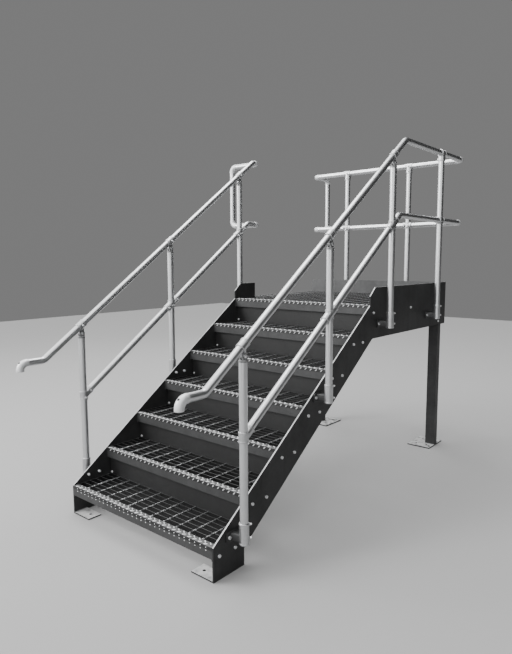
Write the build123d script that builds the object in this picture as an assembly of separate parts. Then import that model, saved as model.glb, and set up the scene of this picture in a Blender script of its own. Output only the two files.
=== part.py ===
from build123d import *
from math import atan2, cos, degrees, radians, sin, tan
import os

# Galvanised steel access stair: seven risers, a grating landing and a clamped tube guard.
# X runs across the flight, Y the way it climbs, Z up. Lengths are in millimetres.
# While it is drawn, zero is on the ground, midway between the stringers, under the first nosing.

# Flight
rise = 180
going = 250
risers = 7
clear_width = 1200
stringer_plate = 8
stringer_drop = 250
foot_length = 225
foot_plate_reach = 150
foot_plate_depth = 90
foot_plate_thickness = 8
foot_hole_inset = 48
anchor_hole = 18

# Landing
landing_length = 1270
landing_side_depth = 225
toe_height = 118
toe_upright = 60
toe_chamfer = 66
stub_length = 245
overhang = 130
edge_plate = 6
edge_depth = 75
rib_count = 3

# Gratings
tread_depth = 275
bar_pitch = 41
bar_depth = 30
bar_thickness = 4
nosing_width = 34
nosing_plate = 3
nosing_front = 62
end_plate = 5
end_plate_depth = 70
end_cut_length = 50
end_cut_height = 30
side_gap = 0.3
panel_gap = 4

# Riser plates
riser_plate = 3
riser_flange = 35
riser_lap = 22
riser_top_gap = 3

# Legs and rear beam
leg_width = 80
leg_depth = 50
leg_wall = 5
leg_inset = 60
leg_top_gap = 10
base_width = 190
base_depth = 260
base_thickness = 10
base_hole_side = 50
base_hole_front = 64
beam_height = 120
beam_flange = 55
beam_wall = 6
beam_end_plate = 8
beam_top_drop = 105

# Guard tubes and their places
tube_radius = 21.2
tube_wall = 3.2
post_offset = 70
first_post = 147
bays_between_posts = 3
rear_post = 785
back_post_inset_right = 375
back_post_inset_left = 215
handrail_height = 875
mid_rail_drop = 449
guard_rise = 225
guard_mid_drop = 500
low_drop = 82
bend_radius = 48
front_elbow = 262
left_end_run = 65
left_return_reach = 285
back_end_run = 365
back_return_reach = 220

# Fittings
socket_radius = 26.5
round_sides = 12
fit_gap = 0.2
post_clear = 2
roof_thickness = 2
socket_grip = 26
elbow_arm = 48
elbow_grip = 23
elbow_bend = 24
tee_half = 32
sleeve_half = 40
swivel_half = 38
swivel_drop = 52
swivel_eye = 17
swivel_tongue = 12
swivel_ear = 7
cup_height = 50
cup_roof = 6
pivot_rise = 24
palm_length = 116
palm_height = 54
palm_plate = 8
palm_sleeve = 110
palm_below = 28
neck_height = 42
neck_width = 64
left_palm_rise = 40
right_palm_rises = (15, 40)
landing_palm_drop = 130

# Derived places
slope = rise / going
pitch_angle = degrees(atan2(rise, going))
deck_z = risers * rise
landing_y = (risers - 1) * going
back_y = landing_y + landing_length
half = clear_width / 2
outer_face = half + stringer_plate
left_edge = -half - overhang
rail_x = outer_face + post_offset
back_rail_y = back_y + post_offset
bore_radius = tube_radius + fit_gap
back_post_right = half - back_post_inset_right
back_post_left = back_post_inset_left - half
mid_rail_height = handrail_height - mid_rail_drop
guard_z = deck_z + handrail_height + guard_rise
guard_mid_z = guard_z - guard_mid_drop
low_z = rise + handrail_height - low_drop
low_bend_y = -low_drop / slope
top_bend_y = (guard_z - rise - handrail_height) / slope
mid_bend_y = (guard_mid_z - rise - mid_rail_height) / slope
left_end_y = top_bend_y + left_end_run
back_end_x = back_post_left - back_end_run
flight_posts = [first_post + n * bays_between_posts * going for n in range(3)]
rear_post_y = flight_posts[2] + rear_post


def pitch_z(y):
    """Height of the line through the nosings."""
    return rise + y * slope


def block(x0, x1, y0, y1, z0, z1):
    """Box between two corners."""
    return Pos((x0 + x1) / 2, (y0 + y1) / 2, (z0 + z1) / 2) * Box(x1 - x0, y1 - y0, z1 - z0)


# Round sections, drawn with flat sides: corners on the radius outside, flats on it in a bore
def tube_outside():
    return RegularPolygon(tube_radius, round_sides)


def tube_inside():
    return RegularPolygon(tube_radius - tube_wall, round_sides)


def casting():
    return RegularPolygon(socket_radius, round_sides)


def bore():
    return RegularPolygon(bore_radius, round_sides, major_radius=False)


def bar(start, end, section):
    """Straight bar from one point to another."""
    start, end = Vector(*start), Vector(*end)
    span = end - start
    return extrude(Plane(origin=start, z_dir=span) * section, amount=span.length)


def eased(points, radius):
    """The same route with each corner cut back to where a bend of this radius meets the runs."""
    corners = [Vector(*point) for point in points]
    route = [corners[0]]
    for before, corner, after in zip(corners, corners[1:], corners[2:]):
        into = (before - corner).normalized()
        onward = (after - corner).normalized()
        turn = radians(180 - into.get_angle(onward))
        cut = radius * tan(turn / 2)
        route += [corner + into * cut, corner + onward * cut]
    return route + [corners[-1]]


def swept(points, section, radius):
    """Bar along straight runs, eased at its bends and mitred there."""
    path = Polyline(*eased(points, radius))
    start = Plane(origin=path @ 0, z_dir=path % 0)
    return sweep(start * section, path=path, transition=Transition.RIGHT)


def bent_tube(points):
    """Guard tube with a true wall along straight runs and bends."""
    return swept(points, tube_outside(), bend_radius) - swept(points, tube_inside(), bend_radius)


def straight_tube(start, end):
    """Guard tube with a true wall between two points."""
    return bar(start, end, tube_outside()) - bar(start, end, tube_inside())


# Stringers, each one plate cut to shape with a foot plate welded at its toe
def stringer_outline(toe_end, rear_end):
    """Outline in Y and Z. The top edge passes through every nosing."""
    bottom_z = deck_z - landing_side_depth
    knee_y = (bottom_z - rise + stringer_drop) / slope
    outline = [
        (0, 0),
        (0, rise),
        (landing_y, deck_z),
        (landing_y, deck_z + toe_upright),
        (landing_y + toe_chamfer, deck_z + toe_height),
        (toe_end, deck_z + toe_height),
    ]
    if toe_end < rear_end:
        outline += [(toe_end, deck_z), (rear_end, deck_z)]
    return outline + [
        (rear_end, bottom_z),
        (knee_y, bottom_z),
        (foot_length, pitch_z(foot_length) - stringer_drop),
        (foot_length, 0),
    ]


def foot_plate():
    """Plate on the ground, inside the right stringer, with one anchor hole."""
    end = half - foot_plate_reach
    plate = block(end, half, 0, foot_plate_depth, 0, foot_plate_thickness)
    hole = Cylinder(anchor_hole / 2, 2 * foot_plate_thickness)
    return plate - Pos(end + foot_hole_inset, foot_plate_depth / 2, foot_plate_thickness / 2) * hole


def stringer(side, toe_end, rear_end):
    corners = [(side * outer_face, y, z) for y, z in stringer_outline(toe_end, rear_end)]
    plate = extrude(make_face(Polyline(*corners, close=True)), amount=stringer_plate, dir=(-side, 0, 0))
    foot = foot_plate()
    return plate + (foot if side > 0 else mirror(foot, about=Plane.YZ))


# Gratings, with their front at Y = 0 and their top at Z = 0
def bearing_bars(x0, x1, depth, first_bar):
    """Bars on edge along X at an even pitch, with one more at the back."""
    count = int((depth - bar_thickness - first_bar) // bar_pitch)
    places = [first_bar + n * bar_pitch for n in range(count + 1)] + [depth - bar_thickness]
    return Part() + [block(x0, x1, y, y + bar_thickness, -bar_depth, 0) for y in places]


def nosing(x0, x1):
    """Folded strip: a flat top with a deep front face."""
    top = block(x0, x1, 0, nosing_width, -nosing_plate, 0)
    return top + block(x0, x1, 0, nosing_plate, -nosing_front, 0)


def panel(depth, first_bar):
    """Grating across the flight, welded between an end plate on each side."""
    reach = half - side_gap
    body = bearing_bars(-reach, reach, depth, first_bar)
    for side in (-1, 1):
        x0, x1 = sorted((side * reach, side * (reach - end_plate)))
        body += block(x0, x1, 0, depth, -end_plate_depth, 0)
    return body


def nosed_panel(depth):
    """Panel whose front bar stands behind a nosing strip."""
    reach = half - side_gap
    return panel(depth, nosing_width - bar_thickness) + nosing(-reach, reach)


def tread():
    """Nosed panel, the rear lower corners of its end plates cut off above the stringer's edge."""
    low = -end_plate_depth
    front, rear = tread_depth - end_cut_length, tread_depth
    corner = [(-half, front, low), (-half, rear, low), (-half, rear, low + end_cut_height)]
    wedge = extrude(make_face(Polyline(*corner, close=True)), amount=clear_width, dir=(1, 0, 0))
    return nosed_panel(tread_depth) - wedge


# Riser plates, folded back at both ends to bolt to the stringers
def riser():
    """Plate behind a tread, with that tread's nosing at Y = 0 and its top at Z = 0."""
    front = tread_depth + side_gap
    reach = half - side_gap
    shoulder = rise - end_plate_depth - riser_top_gap
    top = rise - bar_depth - riser_top_gap
    narrow = reach - end_plate - riser_top_gap
    web = block(-reach, reach, front, front + riser_plate, -riser_lap, shoulder)
    web += block(-narrow, narrow, front, front + riser_plate, shoulder, top)
    for side in (-1, 1):
        x0, x1 = sorted((side * reach, side * (reach - riser_plate)))
        web += block(x0, x1, front, front + riser_flange, -riser_lap, shoulder)
    return web


# Landing
deck_depth = landing_length - stringer_plate - side_gap
panel_depth = (deck_depth - panel_gap) / 2


def deck_extension():
    """Narrow grating that carries the deck out to the left, past the stringer."""
    start = landing_y + stub_length + edge_plate + side_gap
    x0 = left_edge + edge_plate + side_gap
    x1 = -outer_face - side_gap
    depth = back_y - stringer_plate - side_gap - start
    body = bearing_bars(x0, x1, depth, 0)
    for x in (x0, x1 - end_plate):
        body += block(x, x + end_plate, 0, depth, -bar_depth, 0)
    return Pos(0, start, deck_z) * body


def extension_frame():
    """Edge plate, end plate and ribs that hold the narrow grating off the left stringer."""
    start = landing_y + stub_length
    end = back_y - stringer_plate
    frame = block(left_edge, left_edge + edge_plate, start, end, deck_z - edge_depth, deck_z)
    frame += block(left_edge, -outer_face, start, start + edge_plate, deck_z - edge_depth, deck_z)
    rib_top = deck_z - bar_depth - side_gap
    for n in range(rib_count):
        y = start + (n + 1) * (end - start) / (rib_count + 1)
        frame += block(left_edge, -outer_face, y, y + edge_plate, deck_z - edge_depth, rib_top)
    return frame


def back_plate():
    """Toe board and rear edge of the landing in one plate."""
    front = back_y - stringer_plate
    top = deck_z + toe_height
    right = block(-half, half, front, back_y, deck_z - landing_side_depth, top)
    left = block(left_edge, -half, front, back_y, deck_z - edge_depth, top)
    return right + left


# Legs, box section on wide base plates, with a channel between them
leg_rear_y = back_y - leg_inset
leg_front_y = leg_rear_y - leg_depth
leg_top = deck_z - end_plate_depth - leg_top_gap


def base_plate():
    """Ground plate of the right leg, with four anchor holes."""
    middle_y = (leg_front_y + leg_rear_y) / 2
    front, rear = middle_y - base_depth / 2, middle_y + base_depth / 2
    plate = block(half - base_width, half, front, rear, 0, base_thickness)
    for x in (half - base_hole_side, half - base_width + base_hole_side):
        for y in (front + base_hole_front, rear - base_hole_front):
            plate -= Pos(x, y, base_thickness / 2) * Cylinder(anchor_hole / 2, 2 * base_thickness)
    return plate


def leg(side):
    body = block(half - leg_width, half, leg_front_y, leg_rear_y, base_thickness, leg_top)
    body -= block(
        half - leg_width + leg_wall,
        half - leg_wall,
        leg_front_y + leg_wall,
        leg_rear_y - leg_wall,
        base_thickness,
        leg_top - leg_wall,
    )
    body += base_plate()
    return mirror(body, about=Plane.YZ) if side < 0 else body


def rear_beam():
    """Channel across the landing, in front of the legs, with end plates."""
    top = deck_z - beam_top_drop
    bottom = top - beam_height
    rear = leg_front_y
    front = rear - beam_flange
    reach = half - side_gap
    beam = block(-reach, reach, rear - beam_wall, rear, bottom, top)
    beam += block(-reach, reach, front, rear, top - beam_wall, top)
    beam += block(-reach, reach, front, rear, bottom, bottom + beam_wall)
    for side in (-1, 1):
        x0, x1 = sorted((side * reach, side * (reach - beam_end_plate)))
        beam += block(x0, x1, front, rear, bottom, top)
    return beam


# Fittings, each a hollow casting with its bores a working clearance over the tube
def elbow(corner, toward_a, toward_b):
    """Two sockets at a right angle, open at both ends."""
    corner = Vector(*corner)
    points = [corner + Vector(*toward_a) * elbow_arm, corner, corner + Vector(*toward_b) * elbow_arm]
    return swept(points, casting(), elbow_bend) - swept(points, bore(), elbow_bend)


def level_tee(at, along):
    """Sleeve round a level rail, with a socket below for the post."""
    at, along = Vector(*at), Vector(*along)
    down = Vector(0, 0, -1)
    roof = bore_radius + roof_thickness
    body = bar(at - along * tee_half, at + along * tee_half, casting())
    body += bar(at, at + down * (roof + 2 * tee_half), casting())
    body -= bar(at - along * 2 * tee_half, at + along * 2 * tee_half, bore())
    return body - bar(at + down * roof, at + down * 4 * tee_half, bore())


def stub_out(angle):
    """How far from a post's axis a rail must stop to clear the post."""
    lean = radians(angle)
    return (tube_radius + post_clear + tube_radius * sin(lean)) / cos(lean)


def cross(at, arms):
    """Sleeve round a post with a socket along each arm. An arm is a direction and its slope."""
    at = Vector(*at)
    up = Vector(0, 0, 1)
    body = bar(at - up * sleeve_half, at + up * sleeve_half, casting())
    bores = bar(at - up * 2 * sleeve_half, at + up * 2 * sleeve_half, bore())
    for direction, angle in arms:
        direction = Vector(*direction)
        length = stub_out(angle) + socket_grip
        body += bar(at, at + direction * length, casting())
        bores += bar(at + direction * tube_radius, at + direction * 2 * length, bore())
    return body - bores


def eye(x, y, z, width):
    """Round end of a tongue or ear, across the pin of a swivel."""
    section = RegularPolygon(swivel_eye, round_sides)
    return extrude(Plane(origin=(x - width / 2, y, z), z_dir=(1, 0, 0)) * section, amount=width)


def swivel_tee(at):
    """Sleeve round the sloping rail, pinned by a tongue and fork to a cup on the post."""
    at = Vector(*at)
    along = Vector(0, cos(radians(pitch_angle)), sin(radians(pitch_angle)))
    pivot_z = at.Z - swivel_drop
    roof_z = pivot_z - pivot_rise
    sleeve = bar(at - along * swivel_half, at + along * swivel_half, casting())
    tongue = Pos(at.X, at.Y, (at.Z + pivot_z) / 2) * Box(swivel_tongue, 2 * swivel_eye, swivel_drop)
    tongue += eye(at.X, at.Y, pivot_z, swivel_tongue)
    rail_bore = bar(at - along * 2 * swivel_half, at + along * 2 * swivel_half, bore())
    cup = bar((at.X, at.Y, roof_z - cup_height), (at.X, at.Y, roof_z), casting())
    cup -= bar((at.X, at.Y, roof_z - 2 * cup_height), (at.X, at.Y, roof_z - cup_roof), bore())
    for side in (-1, 1):
        x = at.X + side * (swivel_tongue + swivel_ear) / 2
        cup += eye(x, at.Y, pivot_z, swivel_ear)
        cup += Pos(x, at.Y, (pivot_z + roof_z) / 2) * Box(swivel_ear, 2 * swivel_eye, pivot_rise)
    return sleeve + tongue + cup - rail_bore


def palm(outward, at):
    """Side fixing: a flange on the plate, a tapered neck and a sleeve for the post."""
    reach = post_offset
    flange = Pos(0, palm_plate / 2, 0) * Box(palm_length, palm_plate, palm_height)
    root = Plane(origin=(0, palm_plate, 0), z_dir=(0, 1, 0)) * Rectangle(neck_width, neck_height)
    tip = Plane(origin=(0, reach, 0), z_dir=(0, 1, 0)) * Rectangle(socket_radius, neck_height)
    neck = loft([root, tip])
    sleeve = bar((0, reach, -palm_below), (0, reach, palm_sleeve - palm_below), casting())
    hollow = bar((0, reach, -2 * palm_sleeve), (0, reach, 2 * palm_sleeve), bore())
    turn = {"left": 90, "right": -90, "back": 0}[outward]
    return Pos(*at) * Rot(0, 0, turn) * (flange + neck + sleeve - hollow)


# Posts, from the foot of the side fixing's sleeve to the fitting on top
def swivel_post_top(y):
    """Top of a post that ends in the cup of a swivel tee."""
    return pitch_z(y) + handrail_height - swivel_drop - pivot_rise - cup_roof - fit_gap


landing_palm_z = deck_z - landing_palm_drop
left_palms = [
    rise + left_palm_rise,
    (1 + bays_between_posts) * rise + left_palm_rise,
    landing_palm_z,
]
right_palms = [
    rise + right_palm_rises[0],
    (1 + bays_between_posts) * rise + right_palm_rises[1],
    landing_palm_z,
]
level_post_top = guard_z - bore_radius - roof_thickness - fit_gap
posts = {}
for n, y in enumerate(flight_posts):
    posts[f"post_left_{n + 1}"] = (-rail_x, y, left_palms[n], swivel_post_top(y))
    posts[f"post_right_{n + 1}"] = (rail_x, y, right_palms[n], swivel_post_top(y))
posts["post_right_4"] = (rail_x, rear_post_y, landing_palm_z, level_post_top)
posts["post_back_1"] = (back_post_right, back_rail_y, landing_palm_z, level_post_top)
posts["post_back_2"] = (back_post_left, back_rail_y, landing_palm_z, level_post_top)

# Rails
along_slope = Vector(0, cos(radians(pitch_angle)), sin(radians(pitch_angle)))
flight_clear = stub_out(pitch_angle)
level_clear = stub_out(0)
elbow_seat = elbow_arm - elbow_grip


def mid_point(x, y, shift):
    """Point on the sloping mid rail, a distance along it from the post at y."""
    return tuple(Vector(x, y, pitch_z(y) + mid_rail_height) + along_slope * shift)


def handrail(x, end_y):
    """Level lower end, the slope up the flight and the level run at the landing."""
    start = (x, -front_elbow + elbow_seat, low_z)
    return bent_tube([start, (x, low_bend_y, low_z), (x, top_bend_y, guard_z), (x, end_y, guard_z)])


def flight_mid_rails(x, end_y):
    """Mid rail cut at every post of the flight. The last piece also takes the bend."""
    bays = []
    for near, far in zip(flight_posts, flight_posts[1:]):
        bays.append(straight_tube(mid_point(x, near, flight_clear), mid_point(x, far, -flight_clear)))
    start = mid_point(x, flight_posts[2], flight_clear)
    bays.append(bent_tube([start, (x, mid_bend_y, guard_mid_z), (x, end_y, guard_mid_z)]))
    return bays


# Returns: each guard end turns outwards, drops to the mid rail and comes back
def return_tubes(x, y, outward, reach):
    """Three short tubes. outward is the way the return leaves the guard."""
    out = Vector(*outward)
    top, low = Vector(x, y, guard_z), Vector(x, y, guard_mid_z)
    far = top + out * reach
    near_seat, far_seat = out * elbow_seat, out * (reach - elbow_seat)
    return [
        straight_tube(tuple(top + near_seat), tuple(top + far_seat)),
        straight_tube((far.X, far.Y, guard_z - elbow_seat), (far.X, far.Y, guard_mid_z + elbow_seat)),
        straight_tube(tuple(low + near_seat), tuple(low + far_seat)),
    ]


def return_elbows(x, y, outward, reach, inward):
    """Four elbows. inward is the way back along the guard."""
    out = Vector(*outward)
    top, low = Vector(x, y, guard_z), Vector(x, y, guard_mid_z)
    back = out * -1
    return [
        elbow(tuple(top), inward, outward),
        elbow(tuple(top + out * reach), tuple(back), (0, 0, -1)),
        elbow(tuple(low + out * reach), tuple(back), (0, 0, 1)),
        elbow(tuple(low), inward, outward),
    ]


nodes = {}
nodes["stringer_left"] = stringer(-1, landing_y + stub_length, back_y - stringer_plate)
nodes["stringer_right"] = stringer(1, back_y, back_y)
one_tread = tread()
one_riser = riser()
for n in range(risers - 1):
    nodes[f"tread_{n + 1}"] = Pos(0, n * going, (n + 1) * rise) * one_tread
    nodes[f"riser_{n + 1}"] = Pos(0, n * going, (n + 1) * rise) * one_riser
nodes["deck_front"] = Pos(0, landing_y, deck_z) * nosed_panel(panel_depth)
nodes["deck_rear"] = Pos(0, landing_y + panel_depth + panel_gap, deck_z) * panel(panel_depth, 0)
nodes["deck_extension"] = deck_extension()
nodes["extension_frame"] = extension_frame()
nodes["back_plate"] = back_plate()
nodes["leg_left"] = leg(-1)
nodes["leg_right"] = leg(1)
nodes["rear_beam"] = rear_beam()
for name, (x, y, palm_z, top) in posts.items():
    nodes[name] = straight_tube((x, y, palm_z - palm_below), (x, y, top))

nodes["handrail_left"] = handrail(-rail_x, left_end_y - elbow_seat)
nodes["handrail_right"] = handrail(rail_x, back_rail_y - elbow_seat)
nodes["handrail_back"] = straight_tube(
    (rail_x - elbow_seat, back_rail_y, guard_z), (back_end_x + elbow_seat, back_rail_y, guard_z)
)
nodes["mid_rail_left"] = flight_mid_rails(-rail_x, left_end_y - elbow_seat)
nodes["mid_rail_right"] = flight_mid_rails(rail_x, rear_post_y - level_clear)
last_bay = (rail_x, rear_post_y + level_clear, guard_mid_z)
nodes["mid_rail_right"].append(straight_tube(last_bay, (rail_x, back_rail_y - elbow_seat, guard_mid_z)))
back_bays = [
    (rail_x - elbow_seat, back_post_right + level_clear),
    (back_post_right - level_clear, back_post_left + level_clear),
    (back_post_left - level_clear, back_end_x + elbow_seat),
]
nodes["mid_rail_back"] = [
    straight_tube((start, back_rail_y, guard_mid_z), (end, back_rail_y, guard_mid_z))
    for start, end in back_bays
]

left_return = (-rail_x, left_end_y, (-1, 0, 0), left_return_reach)
back_return = (back_end_x, back_rail_y, (0, 1, 0), back_return_reach)
nodes["return_left"] = return_tubes(*left_return)
nodes["return_back"] = return_tubes(*back_return)
nodes["elbows"] = return_elbows(*left_return, (0, -1, 0)) + return_elbows(*back_return, (1, 0, 0))
nodes["elbows"] += [elbow((rail_x, back_rail_y, z), (0, -1, 0), (-1, 0, 0)) for z in (guard_z, guard_mid_z)]
nodes["elbows"] += [elbow((x, -front_elbow, low_z), (0, 1, 0), (0, 0, -1)) for x in (-rail_x, rail_x)]

level_posts = [((rail_x, rear_post_y), (0, 1, 0))]
level_posts += [((x, back_rail_y), (1, 0, 0)) for x in (back_post_right, back_post_left)]
nodes["rail_tees"] = [level_tee((x, y, guard_z), along) for (x, y), along in level_posts]
nodes["crosses"] = []
for (x, y), along in level_posts:
    arms = [(along, 0), (tuple(Vector(*along) * -1), 0)]
    nodes["crosses"].append(cross((x, y, guard_mid_z), arms))
for x in (-rail_x, rail_x):
    for n, y in enumerate(flight_posts):
        arms = [(tuple(along_slope), pitch_angle), (tuple(along_slope * -1), pitch_angle)]
        nodes["rail_tees"].append(swivel_tee((x, y, pitch_z(y) + handrail_height)))
        nodes["crosses"].append(cross(mid_point(x, y, 0), arms[:1] if n == 0 else arms))

nodes["palms_left"] = [palm("left", (-outer_face, y, z)) for y, z in zip(flight_posts, left_palms)]
nodes["palms_right"] = [palm("right", (outer_face, y, z)) for y, z in zip(flight_posts, right_palms)]
nodes["palms_right"].append(palm("right", (outer_face, rear_post_y, landing_palm_z)))
nodes["palms_back"] = [palm("back", (x, back_y, landing_palm_z)) for x in (back_post_right, back_post_left)]

# The finished origin is the middle of the whole stair's footprint, on the ground
x_middle = (rail_x + socket_radius - (rail_x + left_return_reach + socket_radius)) / 2
y_middle = (-front_elbow - socket_radius + back_rail_y + back_return_reach + socket_radius) / 2
to_origin = Pos(-x_middle, -y_middle, 0)

os.makedirs("parts", exist_ok=True)
for name, solids in nodes.items():
    pieces = solids if isinstance(solids, list) else [solids]
    solids_out = [solid for piece in pieces for solid in (to_origin * piece).solids()]
    shape = solids_out[0] if len(solids_out) == 1 else Compound(solids_out)
    export_step(shape, f"parts/{name}.step")
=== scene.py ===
from math import atan2, cos, pi, radians, sin, tan

import bmesh
import bpy
from mathutils import Matrix, Vector


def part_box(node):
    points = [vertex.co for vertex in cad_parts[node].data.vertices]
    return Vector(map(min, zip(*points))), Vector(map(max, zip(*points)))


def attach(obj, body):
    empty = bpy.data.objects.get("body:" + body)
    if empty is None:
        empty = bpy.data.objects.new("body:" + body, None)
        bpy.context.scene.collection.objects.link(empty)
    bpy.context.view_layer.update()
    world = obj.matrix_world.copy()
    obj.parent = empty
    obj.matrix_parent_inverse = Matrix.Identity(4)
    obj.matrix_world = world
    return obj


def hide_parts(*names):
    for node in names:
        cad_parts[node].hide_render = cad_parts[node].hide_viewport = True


# Galvanised steel access stair: seven risers, a grating landing and a clamped tube guard.
# Lengths are in metres: X across the flight, Y the way it climbs, Z up from the ground.
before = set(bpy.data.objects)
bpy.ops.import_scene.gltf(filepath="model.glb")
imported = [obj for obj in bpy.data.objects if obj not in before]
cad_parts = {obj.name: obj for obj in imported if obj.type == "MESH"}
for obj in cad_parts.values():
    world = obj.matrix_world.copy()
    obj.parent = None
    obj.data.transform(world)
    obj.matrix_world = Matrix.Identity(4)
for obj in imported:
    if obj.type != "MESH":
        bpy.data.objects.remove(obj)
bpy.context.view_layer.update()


# Stringers, riser plates, back plate and the frame of the landing's extension.
# Flat steel plate, cut to shape, the risers folded at their ends, all hot-dip galvanised.
# The zinc is a dull dark grey, with faint upright bands where water runs down.
# The risers are darker still: a painted shade under the treads above them.
def shader_group(name, inputs, outputs):
    """Empty node group with its named sockets."""
    group = bpy.data.node_groups.new(name, "ShaderNodeTree")
    for way, sockets in (("INPUT", inputs), ("OUTPUT", outputs)):
        for label, kind in sockets.items():
            group.interface.new_socket(name=label, in_out=way, socket_type="NodeSocket" + kind)
    given = group.nodes.new("NodeGroupInput").outputs
    made = group.nodes.new("NodeGroupOutput").inputs
    return group, given, made


def add(tree, kind, sockets, **settings):
    """Node with its settings. A socket takes a value, or a link from another node's output."""
    made = tree.nodes.new("ShaderNode" + kind)
    for name, value in settings.items():
        setattr(made, name, value)
    for name, value in sockets.items():
        if isinstance(value, bpy.types.NodeSocket):
            tree.links.new(value, made.inputs[name])
        else:
            made.inputs[name].default_value = value
    return made


def reckon(tree, operation, *values):
    """Math node on numbers or outputs."""
    return add(tree, "Math", dict(enumerate(values)), operation=operation).outputs[0]


def noise(tree, point, scale, detail, roughness=0.5):
    """Outputs of a noise texture."""
    sockets = {"Vector": point, "Scale": scale, "Detail": detail, "Roughness": roughness}
    return add(tree, "TexNoise", sockets).outputs


def blend(tree, share, first, second):
    """Colour between two others."""
    sockets = {0: share, 6: first, 7: second}
    return add(tree, "Mix", sockets, data_type="RGBA", clamp_factor=True).outputs[2]


def scaled(tree, colour, share, factor):
    """Colour times a factor, where the share is 1, and as it was, where the share is 0."""
    change = reckon(tree, "SUBTRACT", factor, 1.0)
    gain = reckon(tree, "MULTIPLY_ADD", share, change, 1.0)
    return add(tree, "VectorMath", {0: colour, "Scale": gain}, operation="SCALE").outputs[0]


def zinc_skin_group():
    """Zinc as it weathers: crystals, soft blotches and upright bands between two tones."""
    wander_scale, wander_reach = 45.0, 0.012
    crystal_share, cloud_share, usual_spread = 0.22, 1.5, 0.86
    band_scale = (17.0, 17.0, 0.9)
    roughness_swing = 0.05
    grit_scale, grit_share = 620.0, 0.35
    group, given, made = shader_group(
        "zinc_skin",
        {
            "Point": "Vector",
            "Light Tone": "Color",
            "Dark Tone": "Color",
            "Crystals": "Float",
            "Blotches": "Float",
            "Contrast": "Float",
            "Bands": "Float",
            "Roughness": "Float",
        },
        {"Color": "Color", "Roughness": "Float", "Height": "Float"},
    )
    point = given["Point"]
    wander = noise(group, point, wander_scale, 2.0)["Color"]
    shift = add(group, "VectorMath", {0: wander, "Scale": wander_reach}, operation="SCALE")
    bent = add(group, "VectorMath", {0: point, 1: shift.outputs[0]}, operation="ADD")
    cells = add(group, "TexVoronoi", {"Vector": bent.outputs[0], "Scale": given["Crystals"]})
    crystal = add(group, "SeparateColor", {"Color": cells.outputs["Color"]}).outputs[0]
    cloud = noise(group, point, given["Blotches"], 6.0, 0.62)["Fac"]
    upright = add(group, "Mapping", {"Vector": point, "Scale": band_scale}).outputs[0]
    band = noise(group, upright, 1.0, 3.0)["Fac"]
    grit = noise(group, point, grit_scale, 2.0)["Fac"]
    clouds = reckon(group, "MULTIPLY", cloud, cloud_share)
    spread = reckon(group, "MULTIPLY_ADD", crystal, crystal_share, clouds)
    uneven = reckon(group, "SUBTRACT", spread, usual_spread)
    swing = reckon(group, "MULTIPLY", uneven, given["Contrast"])
    lean = reckon(group, "MULTIPLY", reckon(group, "SUBTRACT", band, 0.5), given["Bands"])
    tone = reckon(group, "ADD", reckon(group, "ADD", swing, lean), 0.5)
    colour = blend(group, tone, given["Dark Tone"], given["Light Tone"])
    group.links.new(colour, made["Color"])
    darker = reckon(group, "SUBTRACT", 0.5, tone)
    rough = reckon(group, "MULTIPLY_ADD", darker, roughness_swing, given["Roughness"])
    group.links.new(rough, made["Roughness"])
    height = reckon(group, "ADD", cloud, reckon(group, "MULTIPLY", grit, grit_share))
    group.links.new(height, made["Height"])
    return group


def facing_up(tree, facing, steep, flat):
    """How far a surface faces up, from 0 where it is steep to 1 where it is nearly level."""
    up = add(tree, "SeparateXYZ", {0: facing}).outputs["Z"]
    span = {"Value": up, "From Min": steep, "From Max": flat}
    return add(tree, "MapRange", span, interpolation_type="SMOOTHSTEP").outputs[0]


def highlight_and_wear_group():
    """Zinc brighter where a surface faces up: a painted highlight from the light above, with some
    rubbing by boots and by rain.
    """
    group, given, made = shader_group(
        "highlight_and_wear", {"Facing": "Vector", "Color": "Color", "Lift": "Float"}, {"Color": "Color"}
    )
    share = facing_up(group, given["Facing"], steep=0.55, flat=0.78)
    group.links.new(scaled(group, given["Color"], share, given["Lift"]), made["Color"])
    return group


def ground_dust_group():
    """Pale dust from the yard, on what faces up within a few centimetres of the ground."""
    group, given, made = shader_group(
        "ground_dust",
        {
            "Point": "Vector",
            "Facing": "Vector",
            "Color": "Color",
            "Dust Tone": "Color",
            "Depth": "Float",
        },
        {"Color": "Color"},
    )
    share = facing_up(group, given["Facing"], steep=0.6, flat=0.9)
    height = add(group, "SeparateXYZ", {0: given["Point"]}).outputs["Z"]
    near = reckon(group, "LESS_THAN", height, given["Depth"])
    cloud = noise(group, given["Point"], 32.0, 4.0)["Fac"]
    patchy = add(group, "MapRange", {"Value": cloud, "From Min": 0.3, "From Max": 0.52}).outputs[0]
    amount = reckon(group, "MULTIPLY", reckon(group, "MULTIPLY", share, near), patchy)
    colour = blend(group, amount, given["Color"], given["Dust Tone"])
    group.links.new(colour, made["Color"])
    return group


def grey(value, warmth=0.0):
    """Opaque grey, a little warmer or cooler."""
    return (value * (1 + warmth), value, value * (1 - warmth), 1.0)


zinc_skin = zinc_skin_group()
highlight_and_wear = highlight_and_wear_group()
ground_dust = ground_dust_group()
dust_tone = 0.5
dust_depth = 0.03


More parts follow.
